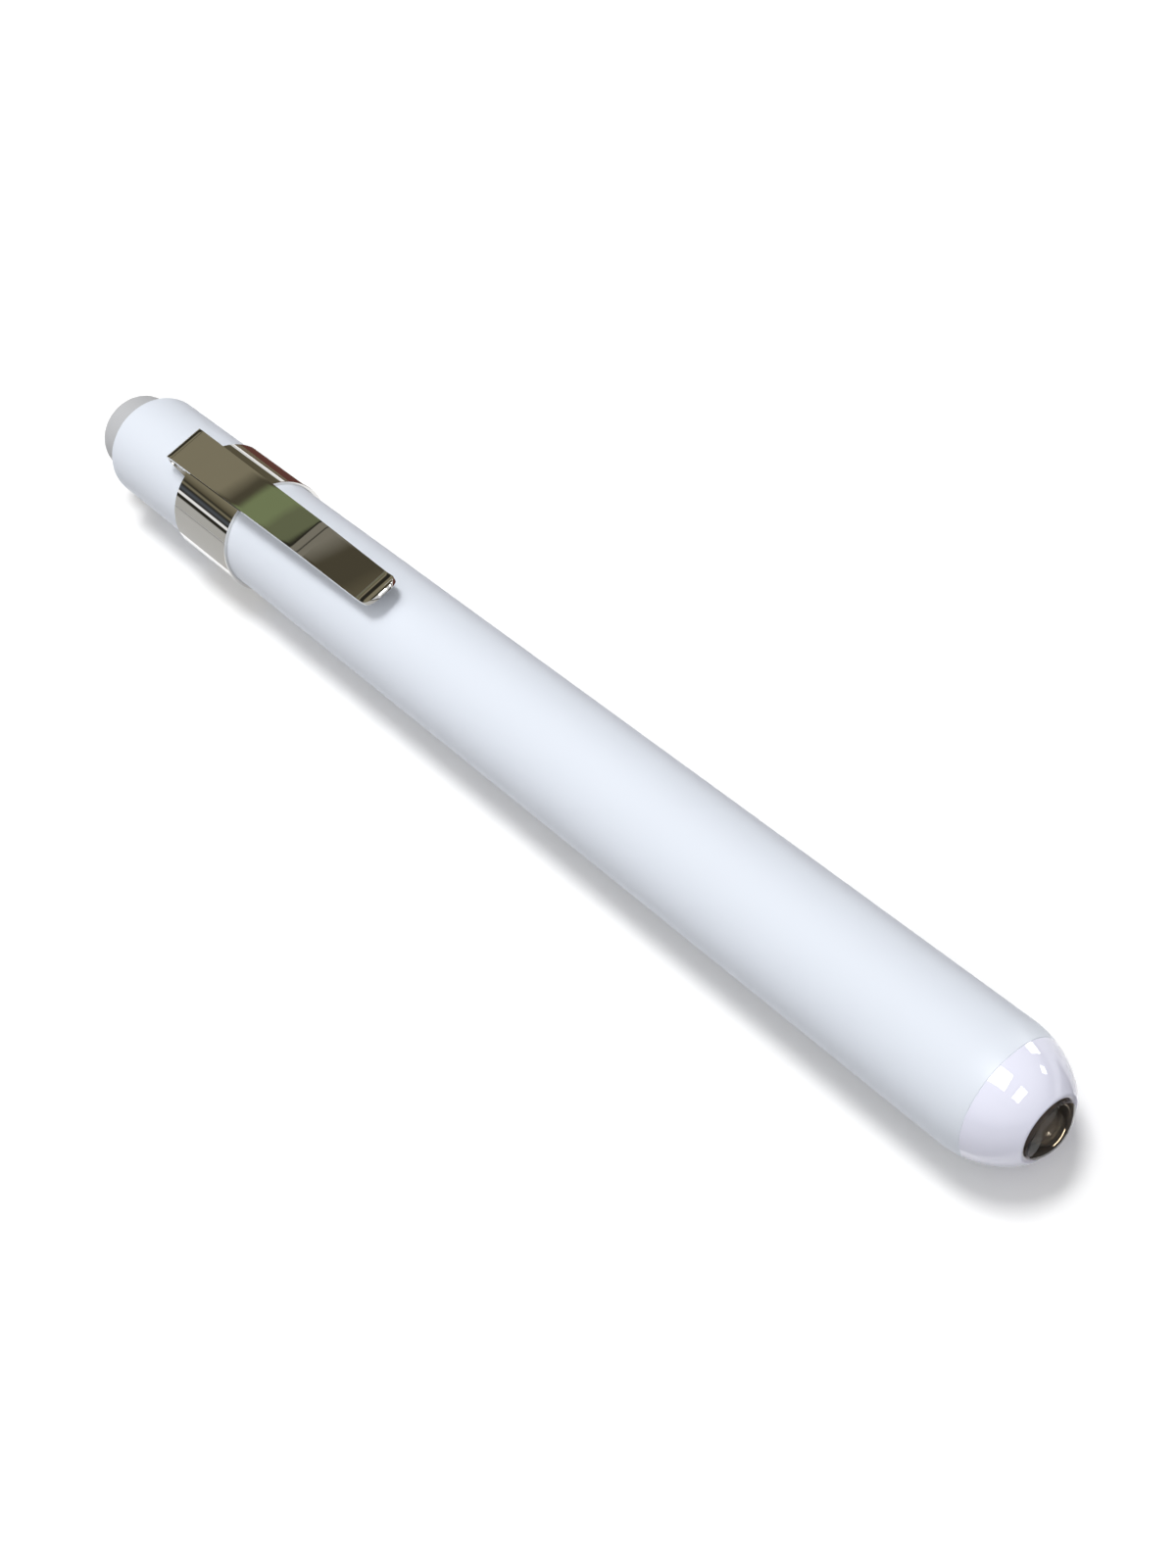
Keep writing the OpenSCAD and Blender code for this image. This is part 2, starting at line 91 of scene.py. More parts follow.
# The room that bright metal shows: its tones, and their heights on each wall from the floor up
ROOM = {
    "pale": (0.62, 0.63, 0.66),
    "white": (0.95, 0.95, 0.95),
    "grey": (0.47, 0.465, 0.44),
    "stone": (0.215, 0.20, 0.16),
    "olive": (0.235, 0.21, 0.14),
    "leaf": (0.195, 0.235, 0.115),
    "moss": (0.14, 0.155, 0.085),
    "brown": (0.11, 0.095, 0.06),
    "umber": (0.075, 0.065, 0.042),
    "slate": (0.09, 0.10, 0.115),
    "dark": (0.025, 0.023, 0.017),
}
TAIL_WALL = (
    (0.0, "olive"), (0.18, "olive"), (0.25, "dark"), (0.44, "dark"), (0.48, "olive"),
    (0.55, "olive"), (0.565, "dark"), (0.582, "dark"), (0.59, "olive"), (1.0, "olive"),
)
BLADE_WALL = (
    (0.590, "olive"), (0.624, "olive"), (0.630, "umber"), (0.6325, "umber"), (0.6355, "leaf"),
    (0.646, "leaf"), (0.650, "moss"), (0.6585, "moss"), (0.6605, "dark"), (0.6645, "dark"),
    (0.667, "stone"), (0.688, "stone"), (0.692, "dark"), (0.696, "stone"), (0.7145, "stone"),
    (0.721, "umber"), (0.731, "umber"), (0.736, "brown"), (0.75, "brown"),
)
NEAR_WALL = (
    (0.0, "grey"), (0.19, "grey"), (0.215, "dark"), (0.27, "dark"), (0.285, "white"),
    (0.325, "white"), (0.34, "dark"), (0.40, "slate"), (0.45, "dark"), (0.48, "olive"),
    (0.51, "dark"), (0.54, "brown"), (0.62, "olive"), (1.0, "pale"),
)
FAR_WALL = (
    (0.0, "white"), (0.015, "white"), (0.03, "brown"), (0.30, "brown"), (0.62, "olive"), (1.0, "pale"),
)
PLAIN_WALL = (
    (0.0, "grey"), (0.10, "brown"), (0.16, "slate"), (0.24, "pale"), (0.60, "white"), (1.0, "pale"),
)

# Where each wall starts and has full strength, and the ripple in their edges
BLADE_EDGE = (0.590, 0.592)
NEAR_EDGE = (-0.05, -0.25)
FAR_EDGE = (0.30, 0.42)
PLAIN_EDGE = (-0.42, -0.15)
RIPPLE_SCALE = 30.0
RIPPLE_HEIGHT = 0.004

# The even light leans to one side and upward from its base level
EVEN_LEAN = (0.30, -0.30, 0.55)
EVEN_BASE = 0.30


def length(name, description, default):
    return FloatProperty(
        name=name, description=description, default=default, min=0.0, unit="LENGTH", precision=5
    )


def count(name, description, default, low, high):
    return IntProperty(name=name, description=description, default=default, min=low, max=high)


def colour(name, description, default):
    return FloatVectorProperty(
        name=name, description=description, default=default, size=3, min=0.0, max=1.0, subtype="COLOR"
    )


def three(name, description, default, kind):
    return FloatVectorProperty(
        name=name, description=description, default=default, size=3, subtype=kind, precision=5
    )


class PenlightCasing(PropertyGroup):
    """Sizes and colours of the barrel and its nose cap"""

    rim_round: length("Rim round", "Rounding of the barrel's rear rim", 0.5 * MM)
    mouth_radius: length("Mouth", "Radius of the opening for the button", 4.9 * MM)
    mouth_round: length("Mouth round", "Rounding of the mouth's edge", 0.2 * MM)
    mouth_length: length("Mouth lip", "Length of the lip that keeps the button in", 1.6 * MM)
    bore_radius: length("Bore", "Radius of the bore for the cells", 5.35 * MM)
    dome_length: length("Dome", "Length of the nose's dome", 7.7 * MM)
    dome_lap: length("Dome lap", "How far the barrel runs up the dome", 2.4 * MM)
    seam_chamfer: length("Seam", "Chamfer on each side of the seam", 0.04 * MM)
    hole_radius: length("Hole", "Radius of the hole for the lens", 2.85 * MM)
    lip_round: length("Lip round", "Rounding of the hole's lip", 0.35 * MM)
    spigot_radius: length("Spigot", "Radius of the cap's spigot", 5.33 * MM)
    seat_radius: length("Seat", "Radius of the space around the glass", 3.75 * MM)
    shell_radius: length("Shell bore", "Radius of the bore for the bulb's shell", 4.42 * MM)
    barrel_colour: colour("Barrel", "Satin white of the barrel", (0.748, 0.790, 0.862))
    cap_colour: colour("Cap", "Glossy white of the nose cap", (0.815, 0.82, 0.945))


class PenlightClip(PropertyGroup):
    """Sizes and colour of the pocket clip"""

    sheet: length("Sheet", "Thickness of the sheet", 0.4 * MM)
    band_fit: length("Band fit", "Gap between the band and the barrel", 0.02 * MM)
    edge_round: length("Edge round", "Rounding of the sheet's edges", 0.1 * MM)
    band_start: length("Band start", "Rear edge of the band from the rear rim", 15.5 * MM)
    band_end: length("Band end", "Front edge of the band from the rear rim", 26.1 * MM)
    band_split: length("Split", "Width of the band's split", 0.6 * MM)
    blade_width: length("Blade width", "Width of the blade at the hairpin", 4.9 * MM)
    tip_width: length("Tip width", "Width of the blade at its lip", 4.2 * MM)
    tip_corner: length("Tip corner", "Corner radius of the blade's end", 1.7 * MM)
    blade_height: length("Blade height", "Top of the blade above the barrel's axis", 8.2 * MM)
    crease: length("Crease", "Where the bend starts, from the clip's rear end", 1.5 * MM)
    crease_soft: length("Crease softness", "Half length of the crease", 0.1 * MM)
    crease_drop: length("Crease drop", "How far the sheet falls from the crease to the bend", 0.05 * MM)
    level_end: length("Level end", "Where the blade starts to come down", 38.1 * MM)
    ease: length("Ease", "Length of the easy bend", 2.5 * MM)
    fall: length("Fall", "How far the blade comes down", 0.45 * MM)
    lip_bend: length("Lip bend", "Radius of the lip's bend", 5.5 * MM)
    lip_angle: FloatProperty(
        name="Lip angle", description="How far the lip turns up", default=math.radians(34), subtype="ANGLE"
    )
    columns: count("Columns", "Facets round the band", 96, 48, 192)
    metal: colour("Chrome", "Colour of the chrome", (0.80, 0.79, 0.77))


class PenlightButton(PropertyGroup):
    """Sizes and colour of the tail button"""

    radius: length("Radius", "Radius of the button", 4.75 * MM)
    crown: length("Crown", "Height of the crown on its end", 0.35 * MM)
    edge_round: length("Edge round", "Rounding of its edge", 0.9 * MM)
    flange_radius: length("Flange", "Radius of the flange behind the barrel's lip", 5.2 * MM)
    flange_start: length("Flange start", "Rear face of the flange from the rear rim", 1.7 * MM)
    wall: length("Wall", "Wall of the skirt", 1.0 * MM)
    end_wall: length("End wall", "Thickness of the end", 1.2 * MM)
    boss_radius: length("Boss", "Radius of the boss that holds the pin", 1.9 * MM)
    boss_length: length("Boss length", "Length of the boss", 4.5 * MM)
    pin_radius: length("Pin hole", "Radius of the boss's hole", 1.02 * MM)
    plastic: colour("Plastic", "Colour of the frosted plastic", (0.51, 0.515, 0.53))


class PenlightBulb(PropertyGroup):
    """Sizes and colour of the bulb's glass"""

    lens_radius: length("Lens", "Radius of the lens in the nose hole", 2.75 * MM)
    lens_cap: length("Lens dome", "Height of the lens's domed end", 0.85 * MM)
    lens_neck: length("Lens neck", "Length of the lens in front of the shoulder", 2.05 * MM)
    glass_radius: length("Glass", "Radius of the glass behind the hole", 3.5 * MM)
    shoulder: length("Shoulder", "Rounding of the glass's shoulder", 0.5 * MM)
    wall: length("Wall", "Wall of the glass", 0.7 * MM)
    lens_depth: length("Lens depth", "Thickness of the lens", 5.6 * MM)
    tint: colour("Tint", "Colour of the glass", (0.44, 0.38, 0.30))


class PenlightSprings(PropertyGroup):
    """Sizes of the two coil springs"""

    return_wire: length("Return wire", "Wire of the return spring", 0.5 * MM)
    return_radius: length("Return radius", "Mean radius of the return spring", 2.6 * MM)
    return_turns: count("Return turns", "Turns of the return spring", 6, 4, 7)
    battery_wire: length("Battery wire", "Wire of the battery spring", 0.6 * MM)
    battery_small: length("Battery small end", "Mean radius at the disc", 2.15 * MM)
    battery_large: length("Battery large end", "Mean radius at the cell", 3.2 * MM)
    battery_turns: count("Battery turns", "Turns of the battery spring", 5, 4, 6)
    travel: length("Travel", "How far the button closes both springs", 2.0 * MM)


class PenlightStage(PropertyGroup):
    """Camera, floor and light"""

    camera_place: three("Camera", "Place of the camera", (0.127422, -0.039446, 0.153883), "TRANSLATION")
    camera_turn: three(
        "Turn", "Turn of the camera", tuple(math.radians(a) for a in (35.4146, 17.4633, 48.1025)), "EULER"
    )
    camera_lens: FloatProperty(name="Lens", description="Focal length in millimetres", default=45.541)
    floor_size: length("Floor", "Width of the floor", 4.0)
    floor_white: FloatProperty(
        name="Floor white", description="How bright the pale floor looks", default=1.015
    )
    floor_bounce: colour("Floor bounce", "What the floor sends back onto the pen", (0.48, 0.48, 0.49))
    # Painted reflections: the far and tail cards are dark sheets that only gloss shows, in the barrel's far
    # side and the clip's rear bend.
    card_colour: colour("Far card", "Card that the gloss shows on the far side", (0.11, 0.045, 0.036))
    tail_colour: colour("Tail card", "Card that the gloss shows behind the tail", (0.17, 0.15, 0.10))
    # Painted shadow: the near card is a grey sheet that only gloss shows, standing for the shaded floor on
    # the near side.
    near_shadow_colour: colour("Near card", "Card that the gloss shows on the near side", (0.47, 0.465, 0.45))
    # Painted shadow: the nose card is a dark sheet that only the lens's gloss shows, standing for the floor
    # in the nose's shadow.
    nose_shadow_colour: colour("Nose card", "Card that the lens shows in front of the nose", (0.16, 0.14, 0.12))
    ambient: FloatProperty(name="Ambient", description="Strength of the even light", default=0.82)
    key_power: FloatProperty(
        name="Key", description="Power of the soft key light", default=2.5, subtype="POWER"
    )


# Modelling by hand


def clear_selection():
    if bpy.context.object and bpy.context.object.mode != "OBJECT":
        bpy.ops.object.mode_set(mode="OBJECT")
    bpy.ops.object.select_all(action="DESELECT")


def open_edit(piece):
    clear_selection()
    piece.select_set(True)
    bpy.context.view_layer.objects.active = piece
    bpy.ops.object.mode_set(mode="EDIT")
    bpy.ops.mesh.select_mode(type="VERT")


def select_where(piece, test):
    """Selects the vertices that pass a test on their place."""
    bpy.ops.mesh.select_all(action="DESELECT")
    mesh = bmesh.from_edit_mesh(piece.data)
    for v in mesh.verts:
        v.select_set(bool(test(v.co)))
    mesh.select_flush(True)
    mesh.select_flush_mode()
    bmesh.update_edit_mesh(piece.data)


def close_edit(piece, sharp_degrees=30):
    bpy.ops.object.mode_set(mode="OBJECT")
    bpy.ops.object.shade_smooth_by_angle(angle=math.radians(sharp_degrees))
    return piece


def apply_modifiers(piece):
    clear_selection()
    piece.select_set(True)
    bpy.context.view_layer.objects.active = piece
    for modifier in list(piece.modifiers):
        bpy.ops.object.modifier_apply(modifier=modifier.name)


def even_normals(piece):
    """Lets the large faces set the shading, so that flats and straight walls stay true."""
    weigh = piece.modifiers.new("normals", "WEIGHTED_NORMAL")
    weigh.mode = "FACE_AREA"
    weigh.keep_sharp = True
    apply_modifiers(piece)
    return piece


def turn_piece(name, outline, steps=TURN_STEPS):
    """Spins an outline of (station, radius) points about the barrel's axis."""
    clear_selection()
    points = [Vector((TAIL + x, 0.0, AXIS_Z + r)) for x, r in outline]
    bpy.ops.mesh.primitive_plane_add(size=0.0001, location=points[0])
    piece = bpy.context.object
    piece.name = piece.data.name = name
    bpy.ops.object.transform_apply(location=True, rotation=True, scale=True)
    open_edit(piece)
    bpy.ops.mesh.select_all(action="SELECT")
    bpy.ops.mesh.merge(type="CENTER")
    for a, b in zip(points, points[1:]):
        bpy.ops.mesh.extrude_region_move(TRANSFORM_OT_translate={"value": b - a})
    bpy.ops.mesh.select_all(action="SELECT")
    bpy.ops.mesh.spin(steps=steps, angle=2 * math.pi, center=(0.0, 0.0, AXIS_Z), axis=(1.0, 0.0, 0.0))
    bpy.ops.mesh.select_all(action="SELECT")
    bpy.ops.mesh.remove_doubles(threshold=WELD)
    bpy.ops.mesh.normals_make_consistent(inside=False)
    close_edit(piece)
    return even_normals(piece)


def arc(x, r, radius, start, end, steps=10):
    """Points of an arc about (x, r), its angles in degrees."""
    turns = [math.radians(start + (end - start) * i / steps) for i in range(steps + 1)]
    return [(x + radius * math.cos(t), r + radius * math.sin(t)) for t in turns]


def dome_radius(x, dome_length):
    """Radius of the nose's dome at a distance from its base."""
    return BARREL_R * math.sqrt(1 - (x / dome_length) ** 2)


def dress(piece, node, body, material):
    """Puts a piece in a solid's place with its finish."""
    piece.data.materials.clear()
    piece.data.materials.append(material)
    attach(piece, body)
    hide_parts(node)


def finish_node(node, material):
    """Gives a solid its finish."""
    mesh = NODES[node].data
    mesh.materials.clear()
    mesh.materials.append(material)


# Finishes


def new_group(name, inputs):
    """A node group with its own inputs, which gives a colour, a roughness and a height."""
    group = bpy.data.node_groups.new(name, "ShaderNodeTree")
    for key, default in inputs:
        kind = "NodeSocketColor" if isinstance(default, tuple) else "NodeSocketFloat"
        group.interface.new_socket(name=key, in_out="INPUT", socket_type=kind).default_value = default
    for key, kind in (("Colour", "Color"), ("Roughness", "Float"), ("Height", "Float")):
        group.interface.new_socket(name=key, in_out="OUTPUT", socket_type="NodeSocket" + kind)
    return group


def new_noise(nodes, detail, scale=None):
    noise = nodes.new("ShaderNodeTexNoise")
    noise.inputs["Detail"].default_value = detail
    if scale:
        noise.inputs["Scale"].default_value = scale
    return noise


def give_finish(group, given, tone, wear, height, low, high):
    """Leads a group's patterns to its outputs, with the roughness spread over wear from low to high."""
    n, link = group.nodes, group.links.new
    made = n.new("NodeGroupOutput")
    mix = n.new("ShaderNodeMix")
    mix.data_type = "RGBA"
    rough = n.new("ShaderNodeMapRange")
    rough.inputs["From Min"].default_value = low
    rough.inputs["From Max"].default_value = high
    link(tone, mix.inputs["Factor"])
    link(given.outputs["Colour"], mix.inputs["A"])
    link(given.outputs["Second Colour"], mix.inputs["B"])
    link(wear, rough.inputs["Value"])
    link(given.outputs["Rough Low"], rough.inputs["To Min"])
    link(given.outputs["Rough High"], rough.inputs["To Max"])
    link(mix.outputs["Result"], made.inputs["Colour"])
    link(rough.outputs["Result"], made.inputs["Roughness"])
    link(height, made.inputs["Height"])


SHARED_INPUTS = (
    ("Colour", (0.8, 0.8, 0.8, 1.0)),
    ("Second Colour", (0.7, 0.7, 0.7, 1.0)),
    ("Rough Low", 0.2),
    ("Rough High", 0.4),
)


def grain_group():
    """Soft mottling for moulded and plain surfaces: colour, roughness and height that vary over the piece."""
    group = bpy.data.node_groups.get("moulded_grain")
    if group:
        return group
    group = new_group("moulded_grain", (("Scale", 900.0), *SHARED_INPUTS))
    n, link = group.nodes, group.links.new
    given = n.new("NodeGroupInput")
    place = n.new("ShaderNodeTexCoord")
    broad = new_noise(n, 3.0, 60.0)
    fine = new_noise(n, 2.0)
    link(place.outputs["Object"], broad.inputs["Vector"])
    link(place.outputs["Object"], fine.inputs["Vector"])
    link(given.outputs["Scale"], fine.inputs["Scale"])
    give_finish(group, given, broad.outputs["Fac"], fine.outputs["Fac"], fine.outputs["Fac"], 0.3, 0.7)
    return group


def drawn_group():
    """Lines of rolling or drawing along X with smudges over them, for metals."""
    group = bpy.data.node_groups.get("drawn_metal")
    if group:
        return group
    group = new_group("drawn_metal", (("Along", 150.0), ("Across", 6000.0), *SHARED_INPUTS))
    n, link = group.nodes, group.links.new
    given = n.new("NodeGroupInput")
    place = n.new("ShaderNodeTexCoord")
    stretch = n.new("ShaderNodeCombineXYZ")
    scaled = n.new("ShaderNodeVectorMath")
    scaled.operation = "MULTIPLY"
    lines = new_noise(n, 3.0, 1.0)
    smudge = new_noise(n, 4.0, 140.0)
    link(given.outputs["Along"], stretch.inputs["X"])
    link(given.outputs["Across"], stretch.inputs["Y"])
    link(given.outputs["Across"], stretch.inputs["Z"])
    link(place.outputs["Object"], scaled.inputs[0])
    link(stretch.outputs["Vector"], scaled.inputs[1])
    link(scaled.outputs["Vector"], lines.inputs["Vector"])
    link(place.outputs["Object"], smudge.inputs["Vector"])
    give_finish(group, given, smudge.outputs["Fac"], smudge.outputs["Fac"], lines.outputs["Fac"], 0.35, 0.75)
    return group


def finish_material(name, group, values, bump, depth, **sockets):
    """A Principled material fed by one of the shared groups, with its plain values on its own sockets."""
    material = bpy.data.materials.new(name + "_finish")
    material.use_nodes = True
    n, link = material.node_tree.nodes, material.node_tree.links.new
    surface = n["Principled BSDF"]
    pattern = n.new("ShaderNodeGroup")
    pattern.node_tree = group
    for key, value in values.items():
        pattern.inputs[key].default_value = (*value, 1.0) if isinstance(value, (tuple, list)) else value
    link(pattern.outputs["Colour"], surface.inputs["Base Color"])
    link(pattern.outputs["Roughness"], surface.inputs["Roughness"])
    if bump:
        relief = n.new("ShaderNodeBump")
        relief.inputs["Strength"].default_value = bump
        relief.inputs["Distance"].default_value = depth
        link(pattern.outputs["Height"], relief.inputs["Height"])
        link(relief.outputs["Normal"], surface.inputs["Normal"])
    for key, value in sockets.items():
        surface.inputs[key.replace("_", " ")].default_value = value
    return material


def shade(base, factor):
    return tuple(min(1.0, c * factor) for c in base)


def finish_values(base, second, low, high, **pattern):
    tones = {"Colour": tuple(base), "Second Colour": shade(base, second)}
    return {**pattern, **tones, "Rough Low": low, "Rough High": high}


def moulded(name, base, low, high, scale=2400.0, bump=0.04, second=0.97, **sockets):
    values = finish_values(base, second, low, high, Scale=scale)
    return finish_material(name, grain_group(), values, bump, 0.05 * MM, **sockets)


def drawn(name, base, low, high, second=0.85, bump=0.05, along=150.0, across=6000.0, **sockets):
    values = finish_values(base, second, low, high, Along=along, Across=across)
    return finish_material(name, drawn_group(), values, bump, 0.02 * MM, Metallic=1.0, **sockets)


# Colour and roughness of the springs and the bulb's leads
STEEL_WIRE = ((0.62, 0.62, 0.63), 0.2, 0.34)


# Pieces


class PENLIGHT_OT_barrel(Operator):
    """Turns the satin white barrel"""

    bl_idname = "penlight.barrel"
    bl_label = "Barrel"

    def execute(self, context):
        c = context.scene.penlight_casing
        start = SEAM - c.dome_lap
        dome = []
        for i in range(LAP_ROWS + 1):
            x = (c.dome_lap - c.seam_chamfer) * i / LAP_ROWS
            dome.append((start + x, dome_radius(x, c.dome_length)))
        seam_r = dome_radius(c.dome_lap, c.dome_length) - c.seam_chamfer
        edge = c.mouth_round
        outline = [(SEAM, c.bore_radius), (c.mouth_length, c.bore_radius), (c.mouth_length, c.mouth_radius)]
        outline += arc(edge, c.mouth_radius + edge, edge, 270, 180, 5)
        outline += arc(c.rim_round, BARREL_R - c.rim_round, c.rim_round, 180, 90)
        for i in range(1, BARREL_ROWS):
            share = i / BARREL_ROWS
            outline.append((start * share + c.rim_round * (1 - share), BARREL_R))
        outline += dome + [(SEAM, seam_r), (SEAM, c.bore_radius)]
        piece = turn_piece("barrel_skin", outline)
        white = moulded("satin_white", c.barrel_colour, 0.42, 0.46, scale=16000.0, bump=0.0)
        dress(piece, "barrel", "casing", white)
        return {"FINISHED"}


class PENLIGHT_OT_nose(Operator):
    """Turns the glossy nose cap"""

    bl_idname = "penlight.nose"
    bl_label = "Nose cap"

    def execute(self, context):
        c = context.scene.penlight_casing
        b = context.scene.penlight_bulb
        start = SEAM - c.dome_lap
        back = CAP_LOW.x - TAIL
        lip_back = GLASS_HIGH.x - TAIL - b.lens_neck
        shell = c.shell_radius
        shell_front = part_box("bulb_shell")[1].x - TAIL

        def slope(turn):
            return math.atan2(math.cos(turn) / BARREL_R, math.sin(turn) / c.dome_length)

        guess = math.acos((c.hole_radius + c.lip_round * 1.5) / BARREL_R)
        turn = math.acos((c.hole_radius + c.lip_round * (1 + math.sin(slope(guess)))) / BARREL_R)
        tilt = slope(turn)
        lip_x = start + c.dome_length * math.sin(turn)
        first = math.asin((c.dome_lap + c.seam_chamfer) / c.dome_length)
        dome = []
        for i in range(1, DOME_ROWS + 1):
            q = turn + (first - turn) * i / DOME_ROWS
            dome.append((start + c.dome_length * math.sin(q), BARREL_R * math.cos(q)))
        seam_r = dome_radius(c.dome_lap, c.dome_length) - c.seam_chamfer
        outline = [(back, shell), (shell_front, shell), (shell_front, c.seat_radius)]
        outline += [(lip_back, c.seat_radius), (lip_back, c.hole_radius)]
        lip = (lip_x - c.lip_round * math.cos(tilt), c.hole_radius + c.lip_round)
        outline += arc(*lip, c.lip_round, -90, math.degrees(tilt), 12)
        outline += dome + [(SEAM, seam_r), (SEAM, c.spigot_radius), (back, c.spigot_radius), (back, shell)]
        piece = turn_piece("nose_skin", outline)
        gloss = moulded(
            "gloss_white", c.cap_colour, 0.0, 0.02, scale=500.0, bump=0.003, second=0.985,
            Coat_Weight=0.3, Coat_Roughness=0.0,
        )
        dress(piece, "nose_cap", "casing", gloss)
        return {"FINISHED"}


class PENLIGHT_OT_button(Operator):
    """Turns the frosted tail button"""

    bl_idname = "penlight.button"
    bl_label = "Tail button"

    def execute(self, context):
        c = context.scene.penlight_button
        end = BUTTON_LOW.x - TAIL
        front = BUTTON_HIGH.x - TAIL
        flat = c.radius - c.edge_round
        crown = (flat**2 + c.crown**2) / (2 * c.crown)
        half = math.degrees(math.asin(flat / crown))
        floor = end + c.end_wall
        inner = c.radius - c.wall
        outline = arc(end + crown, 0.0, crown, 180, 180 - half, 12)
        outline += arc(end + c.crown + c.edge_round, flat, c.edge_round, 180 - half, 90, 12)
        outline += [(c.flange_start, c.radius), (c.flange_start, c.flange_radius)]
        outline += [(front, c.flange_radius), (front, inner)]
        boss_end = floor + c.boss_length
        outline += [(floor, inner), (floor, c.boss_radius), (boss_end, c.boss_radius)]
        outline += [(boss_end, c.pin_radius), (floor, c.pin_radius), (floor, 0.0)]
        piece = turn_piece("button_cap", outline)
        frosted = moulded("frosted_grey", c.plastic, 0.42, 0.58, scale=5000.0, bump=0.12, second=0.94)
        dress(piece, "push_button", "button", frosted)
        return {"FINISHED"}


class PENLIGHT_OT_bulb(Operator):
    """Turns the bulb's glass with its lens end"""

    bl_idname = "penlight.bulb"
    bl_label = "Bulb glass"

    def execute(self, context):
        c = context.scene.penlight_bulb
        front = GLASS_HIGH.x - TAIL
        back = GLASS_LOW.x - TAIL
        foot = (GLASS_HIGH.y - GLASS_LOW.y) / 2
        shell_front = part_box("bulb_shell")[1].x - TAIL
        neck = front - c.lens_neck
        cap = (c.lens_radius**2 + c.lens_cap**2) / (2 * c.lens_cap)
        half = math.degrees(math.asin(c.lens_radius / cap))
        outline = [(back, 0.0), (back, foot)]
        outline += [(shell_front - c.wall * 2, foot), (shell_front - c.wall, c.glass_radius)]
        outline += arc(neck - c.shoulder, c.glass_radius - c.shoulder, c.shoulder, 90, 0, 8)
        outline += [(neck, c.lens_radius)] + arc(front - cap, 0.0, cap, half, 0, 16)
        hollow = c.glass_radius - c.wall
        inner = front - c.lens_depth
        outline_inside = [(inner, 0.0)] + arc(inner - c.wall, hollow - c.wall, c.wall, 0, 90, 8)
        outline_inside += [(back + c.wall * 2, hollow), (back + c.wall * 2, 0.0)]
        piece = turn_piece("bulb_envelope", outline, steps=GLASS_STEPS)
        space = turn_piece("bulb_space", outline_inside, steps=GLASS_STEPS)
        open_edit(space)
        bpy.ops.mesh.select_all(action="SELECT")
        bpy.ops.mesh.flip_normals()
        bpy.ops.object.mode_set(mode="OBJECT")
        clear_selection()
        space.select_set(True)
        piece.select_set(True)
        bpy.context.view_layer.objects.active = piece
        bpy.ops.object.join()
        glass = moulded(
            "lens_glass", c.tint, 0.0, 0.03, scale=700.0, bump=0.01, second=0.94,
            Transmission_Weight=1.0, IOR=1.5,
        )
        dress(piece, "bulb_glass", "casing", glass)
        return {"FINISHED"}


